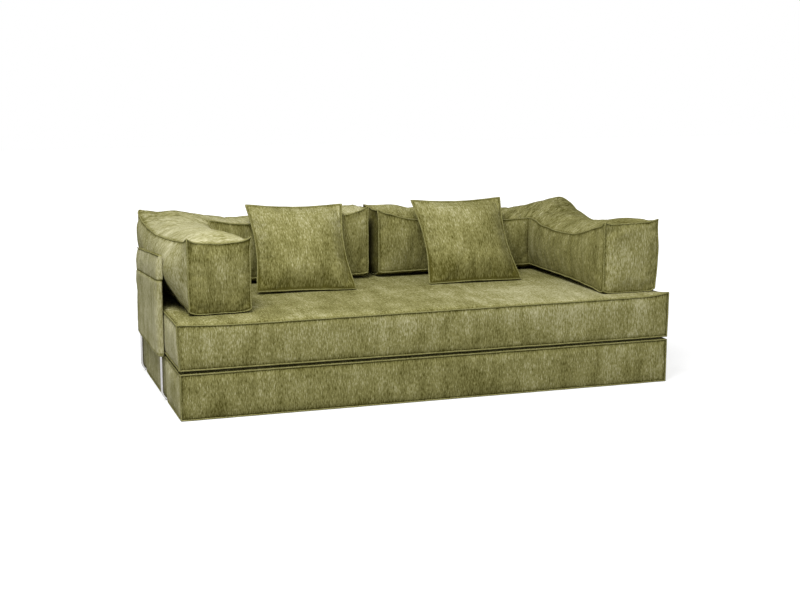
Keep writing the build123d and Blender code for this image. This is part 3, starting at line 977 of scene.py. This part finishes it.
def bolster_cover(form):
    """The cover of one bolster, blown up between its sewn edges."""
    block = quilt_block(bolster_cells)
    nap = block.loops.layers.uv.new("nap")
    for face in block.faces:
        axis = facing(face)
        shift = form.side * 2.3 + axis * 1.7 + (0.8 if face.normal[axis] > 0 else 0)
        for loop in face.loops:
            length, width, height = (share * full for share, full in zip(loop.vert.co, cover_size))
            u, v = ((width, height), (length, height), (length, width))[axis]
            loop[nap].uv = (u + shift, v + shift)
    creased = block.verts.layers.float.new("crease")
    sewn = []
    outside = {}
    block.verts.index_update()
    for vertex in block.verts:
        along, across, high = vertex.co
        on = [min(share, 1 - share) < nearly for share in (along, across, high)]
        if sum(on) >= 2 or (abs(along - 0.5) < nearly and across < nearly):
            sewn.append(vertex.index)
        # The top carries fold lines, with their painted shade strongest at the mitre.
        if high > 1 - nearly:
            from_mitre = (along - 0.5) / fold_reach
            vertex[creased] = fold_least + (1 - fold_least) * math.exp(-(from_mitre**2))
        vertex.co = form.place(along, across, high)
        if across > 1 - nearly and 0 < along < 1:
            outside[vertex.co.copy().freeze()] = True
    piece = soft_piece(f"{form.name}_bolster", block, [olive_chenille])
    sewn_places = [piece.data.vertices[index].co.copy() for index in sewn]

    def keep_in(co):
        return Vector((co.x, co.y, max(co.z, bolster_low + over_seat)))

    def room(co):
        most = outer_swell if co.copy().freeze() in outside else panel_swell
        return most * (0.85 + 0.45 * noise.noise(co * 9))

    puff(piece, sewn, room, keep_in, growth=0.020, pressure=5.0)
    refine(piece, sewn=sewn)
    for vertex in piece.data.vertices:
        vertex.co = keep_in(vertex.co)
    tree = KDTree(len(sewn_places))
    for index, co in enumerate(sewn_places):
        tree.insert(co, index)
    tree.balance()
    mark_seam_shade(piece, [lambda co: tree.find(co)[2]], bolster_seam_shade_reach)
    return piece


def bolster_seams(form):
    """Lines of the sewn edges, for the welts: long seams, end panels and upright corners."""
    count = 200
    lines = []
    for across in (0, 1):
        for high in (0, 1):
            lines.append(([form.place(step / count, across, high) for step in range(count + 1)], False))
        if across == 0:
            lines.append(([form.place(0.5, 0, step / 30) for step in range(31)], False))
    for along in (0, 1):
        ring = [form.place(along, step / 24, 1) for step in range(24)]
        ring += [form.place(along, 1, 1 - step / 24) for step in range(24)]
        ring += [form.place(along, 1 - step / 24, 0) for step in range(24)]
        ring += [form.place(along, 0, step / 24) for step in range(24)]
        lines.append((ring, True))
    return lines


def bolster_painted_light(top, end, left_face, elsewhere):
    """Painted light and shade on each kind of face of a bolster, with painted shade darkest in the gap
    where the two bolsters meet.
    """

    def light_and_shade(co, normal):
        # Painted shade in the gap where the bolsters meet; painted light and shade on the other faces.
        if abs(co.x) < 0.05 and abs(normal.x) > 0.7:
            return -0.34
        if normal.z > 0.6:
            return top * eased(co.y, 0.46, 0.25)
        if normal.x < -0.5:
            return left_face
        return end if normal.y < -0.6 and co.y < -0.2 else elsewhere

    return light_and_shade


bolster_forms = {
    "left": BolsterForm(
        "left",
        side=-1,
        arm_length=0.830,
        end_width=0.228,
        toe_in=0.055,
        corner_room=0.003,
        round_corner=0.035,
        end_belly=0.0,
        sag=0.011,
        crown=(0.034, 0.010),
    ),
    "right": BolsterForm(
        "right",
        side=1,
        arm_length=0.885,
        end_width=0.222,
        toe_in=0.004,
        corner_room=0.018,
        round_corner=0.085,
        end_belly=0.010,
        sag=0.001,
        crown=(0.018, 0.024),
    ),
}
# Each bolster's painted light and shade on its top, its open end, its left face and elsewhere.
bolster_painted_lights = {
    "left": bolster_painted_light(top=0.20, end=-0.12, left_face=0.13, elsewhere=-0.10),
    "right": bolster_painted_light(top=-0.06, end=0.01, left_face=-0.09, elsewhere=-0.11),
}
for name, form in bolster_forms.items():
    body = f"{name}_bolster"
    cushion = bolster_cover(form)
    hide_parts(f"{name}_bolster_cover", f"{name}_bolster_arm_core", f"{name}_bolster_back_core")
    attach(cushion, body)
    paint_light_and_shade(cushion, bolster_painted_lights[name])
    seams = bolster_seams(form)
    piping = round_cord(f"{name}_bolster_welts", seams, bolster_welt_radius, welt_cloth, wander=0.0012)
    for vertex in piping.data.vertices:
        vertex.co.z = max(vertex.co.z, bolster_low + over_seat)
    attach(piping, body)


# A fabric sleeve hangs from each log and slips down over its bracket. It is one flat pocket with
# a padded outer face, open at the bottom, and its upper part is sewn along the bolster's side.
sleeve_low = 0.170
sleeve_high = 0.42055
flap_high = 0.526
flap_tilt = 0.042
pocket_tilt = 0.034
pocket_cells = (54, 3, 26)
flap_cells = (54, 3, 14)
hoop_to_wall = 0.01055
pocket_depth = 0.0235
pocket_swell = 0.0045
pocket_thinning = 0.30
pocket_cloth = 0.0028
pocket_ripple = 0.0012
pocket_hem = 0.009
round_side = 0.009
flap_back = 0.0125
flap_closing = 0.0075
flap_swell = 0.003
flap_side = 0.004
flap_overlap = 0.001
flap_ripple = 0.0016
sleeve_nap_depth = 0.024
sleeve_seam_shade_reach = 0.008
sleeve_welt_radius = 0.0022
sleeve_welt_out = 0.0055
# The sleeves carry an even painted light, paler than the cloth's own tone.
sleeve_painted_light = 0.20


def pocket_seam(share, open_end):
    """Height of the seam between pocket and flap, which climbs toward the log's open end."""
    return sleeve_high + pocket_tilt * (0.5 + (share - 0.5) * open_end)


def flap_top(share, open_end):
    """Height of the flap's sewn top edge, which climbs the same way."""
    return flap_high + flap_tilt * (share - 0.5) * open_end


def past_side(share, half):
    """How far a point lies into the sleeve's rounded side, from 0 to 1."""
    return max(0.0, abs(share - 0.5) * 2 * half - (half - round_side)) / round_side


def sleeve_nap(block, half, shift):
    """Lays the tufts of a sleeve block upright, in metres."""
    nap = block.loops.layers.uv.new("nap")
    for face in block.faces:
        for loop in face.loops:
            a, b, c = loop.vert.co
            loop[nap].uv = (a * 2 * half + b * sleeve_nap_depth + shift, c)


def sleeve_pocket(name, middle, along, outward, half, open_end):
    """The pocket over the hoop: a soft flat box with thin walls and no bottom."""
    block = quilt_block(pocket_cells)
    foot = [face for face in block.faces if face.normal.z < -0.5]
    bmesh.ops.delete(block, geom=foot, context="FACES")
    sleeve_nap(block, half, middle.x + middle.y)
    nap = block.loops.layers.uv.active
    for face in block.faces:
        for loop in face.loops:
            loop[nap].uv.y *= sleeve_high - sleeve_low
    sewn = []
    block.verts.index_update()
    for vertex in block.verts:
        a, b, c = vertex.co
        on_outer_face = b > 1 - nearly and min(a, 1 - a) > nearly and c < 1 - nearly
        if not on_outer_face:
            sewn.append(vertex.index)
        depth = pocket_depth * (1 - pocket_thinning * past_side(a, half))
        out = -hoop_to_wall + pocket_depth / 2 + depth * (b - 0.5)
        x = (a - 0.5) * 2 * half
        ripple = pocket_ripple * noise.noise(Vector((x * 16, c * 4, middle.x + middle.y)))
        z = sleeve_low + c * (pocket_seam(a, open_end) - sleeve_low)
        vertex.co = middle + along * x + outward * (out + ripple * b) + Vector((0, 0, z))
    pad = soft_piece(name, block, [olive_chenille])
    puff(pad, sewn, lambda co: pocket_swell * (0.8 + 0.6 * noise.noise(co * 12)), growth=0.02)
    refine(pad, wall=pocket_cloth)

    def share_at(co):
        return (co - middle).dot(along) / (2 * half) + 0.5

    mark_seam_shade(
        pad,
        [
            lambda co: abs(pocket_seam(share_at(co), open_end) - co.z),
            lambda co: abs(co.z - sleeve_low - pocket_hem),
        ],
        sleeve_seam_shade_reach,
    )
    return pad


def sleeve_flap(name, middle, along, outward, half, open_end):
    """The part above the pocket: it carries on straight up and closes onto the bolster's side."""
    block = quilt_block(flap_cells)
    sleeve_nap(block, half, middle.x + middle.y)
    nap = block.loops.layers.uv.active
    for face in block.faces:
        for loop in face.loops:
            loop[nap].uv.y = loop[nap].uv.y * (flap_high - sleeve_high) + sleeve_high - sleeve_low
    for vertex in block.verts:
        a, b, c = vertex.co
        front = flap_back - flap_closing * c**2 + flap_swell * math.sin(math.pi * c)
        front -= flap_side * past_side(a, half)
        out = -flap_back + (front + flap_back) * b
        x = (a - 0.5) * 2 * half
        ripple = flap_ripple * noise.noise(Vector((x * 14, c * 5, middle.x + middle.y + 4)))
        low = pocket_seam(a, open_end) - flap_overlap
        z = low + c * (flap_top(a, open_end) - low)
        vertex.co = middle + along * x + outward * (out + ripple * b) + Vector((0, 0, z))
    strip = soft_piece(name, block, [olive_chenille])
    refine(strip)

    def share_at(co):
        return (co - middle).dot(along) / (2 * half) + 0.5

    mark_seam_shade(
        strip,
        [
            lambda co: abs(co.z - pocket_seam(share_at(co), open_end)),
            lambda co: abs(flap_top(share_at(co), open_end) - co.z),
        ],
        sleeve_seam_shade_reach,
    )
    return strip


for name, (middle, along, inward, width) in bracket_places.items():
    outward = -inward
    half = width / 2 + hoop_to_wall
    body = f"{name.split('_')[0]}_bolster"
    open_end = -1 if name != "left_back" else 1
    pocket = sleeve_pocket(f"{name}_sleeve_pocket", middle, along, outward, half, open_end)
    strip = sleeve_flap(f"{name}_sleeve_top", middle, along, outward, half, open_end)
    top_line = [
        middle
        + along * ((step / 60 - 0.5) * 2 * half)
        + outward * sleeve_welt_out
        + Vector((0, 0, flap_top(step / 60, open_end)))
        for step in range(61)
    ]
    top_seam = [(top_line, False)]
    piping = round_cord(f"{name}_sleeve_welt", top_seam, sleeve_welt_radius, welt_cloth, wander=0.0008)
    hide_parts(f"{name}_sleeve", f"{name}_sleeve_lining", f"{name}_sleeve_binding")
    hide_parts(f"{name}_sleeve_flap")
    for piece in (pocket, strip):
        # Both parts of the sleeve carry the same even painted light.
        paint_light_and_shade(piece, lambda co, normal: sleeve_painted_light)
        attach(piece, body)
    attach(piping, body)


# Two loose throw pillows lean on the back. Each is two squares of the same chenille, sewn with a
# narrow flange all round and stuffed with fibre, so that the sides draw in between the corners.
pillow_half = 0.200
pillow_lean = math.radians(37)
pillow_stand = {"left_pillow": (-0.013, math.radians(-1.6)), "right_pillow": (-0.002, 0.0)}
# Each pillow's overall painted shade.
pillow_painted_lights = {"left_pillow": -0.07, "right_pillow": -0.11}
pillow_cells = (56, 56, 1)
pillow_stretch = 1.02
pillow_cloth = 0.42
side_draw = 0.024
top_draw = 0.016
foot_draw = 0.006
corner_blunting = 0.020
flange_width = 0.0072
flange_half = 0.0013
pillow_dome = 0.054
pillow_swell = 0.014
pillow_seam_shade_reach = 0.007
pillow_seam_shade_strength = 0.7
pillow_welt_radius = 0.0021


def pillow_outline(x, y):
    """Where a point of the flat square lands: the sides draw in, least along the foot."""
    draw_x = 1 - (side_draw / pillow_half) * (1 - y * y) * abs(x) ** 3
    draw_y = 1 - ((top_draw if y > 0 else foot_draw) / pillow_half) * (1 - x * x) * abs(y) ** 3
    blunt = 1 - corner_blunting * (x * y) ** 8
    draw_x, draw_y = draw_x * blunt, draw_y * blunt
    return x * draw_x * pillow_half * pillow_stretch, y * draw_y * pillow_half


def pillow(name, body):
    """Two sewn squares, blown up, then laid on the seat against the back."""
    boxes = [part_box(f"{body}_{face}_panel") for face in ("front", "back")]
    lows = [min(box[0][i] for box in boxes) for i in range(3)]
    highs = [max(box[1][i] for box in boxes) for i in range(3)]
    center = Vector([(low + high) / 2 for low, high in zip(lows, highs)])
    block = quilt_block(pillow_cells)
    nap = block.loops.layers.uv.new("nap")
    for face in block.faces:
        for loop in face.loops:
            a, b, c = loop.vert.co
            loop[nap].uv = (a * pillow_cloth + center.x + c * 1.3, b * pillow_cloth + c * 2.1)
    near_edge = block.verts.layers.float.new("rim")
    sewn = []
    block.verts.index_update()
    flange = 1 - flange_width / pillow_half
    for vertex in block.verts:
        a, b, c = vertex.co
        x, y = (a - 0.5) * 2, (b - 0.5) * 2
        edge = max(abs(x), abs(y))
        vertex[near_edge] = edge
        inside_x, inside_y = min(abs(x) / flange, 1), min(abs(y) / flange, 1)
        dome = ((1 - inside_x**2) * (1 - inside_y**2)) ** 0.62
        thick = flange_half + pillow_dome * dome
        flat_x, flat_y = pillow_outline(x, y)
        vertex.co = (flat_x, flat_y, thick if c > 0.5 else -thick)
        if edge >= flange - nearly:
            sewn.append(vertex.index)
    piece = soft_piece(name, block, [olive_chenille])

    def room(co):
        return pillow_swell * (0.9 + 0.5 * noise.noise(co * 13 + center * 3))

    puff(piece, sewn, room, growth=0.03)
    refine(piece)
    # Painted shade along the line where the flange is sewn.
    rim = piece.data.attributes["rim"].data
    seam = piece.data.attributes.new("seam", "FLOAT", "POINT").data
    for near, value in zip(rim, seam):
        gap = abs(near.value - flange) * pillow_half
        value.value = pillow_seam_shade_strength * max(0.0, 1 - gap / pillow_seam_shade_reach) ** 1.5
    piece.data.attributes.remove(piece.data.attributes["rim"])
    shift, roll = pillow_stand[body]
    lay = (
        Matrix.Translation(center + Vector((shift, 0, 0)))
        @ Matrix.Rotation(math.pi / 2 - pillow_lean, 4, "X")
        @ Matrix.Rotation(roll, 4, "Z")
    )
    edge_line = []
    corners = ((-1, -1), (1, -1), (1, 1), (-1, 1))
    for start, stop in zip(corners, corners[1:] + corners[:1]):
        for step in range(50):
            square_x, square_y = Vector(start).lerp(Vector(stop), step / 50)
            edge_line.append(Vector((*pillow_outline(square_x, square_y), 0)))
    cord = round_cord(f"{name}_edge", [(edge_line, True)], pillow_welt_radius, welt_cloth, wander=0.0010)
    for part in (piece, cord):
        part.data.transform(lay)
        for vertex in part.data.vertices:
            vertex.co.z = max(vertex.co.z, bolster_low + over_seat)
            vertex.co.y = min(vertex.co.y, highs[1])
    return piece, cord


def pillow_painted_light(rest):
    """Painted light and shade on a pillow: paler toward its lit top, painted shade toward its foot."""
    return lambda co, normal: rest + 0.08 * eased(co.z, 0.50, 0.64) - 0.18 * eased(co.z, 0.50, 0.37)


for body in ("left_pillow", "right_pillow"):
    cushion, cord = pillow(f"{body}_cover", body)
    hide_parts(f"{body}_front_panel", f"{body}_back_panel", f"{body}_filling")
    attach(cushion, body)
    paint_light_and_shade(cushion, pillow_painted_light(pillow_painted_lights[body]))
    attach(cord, body)
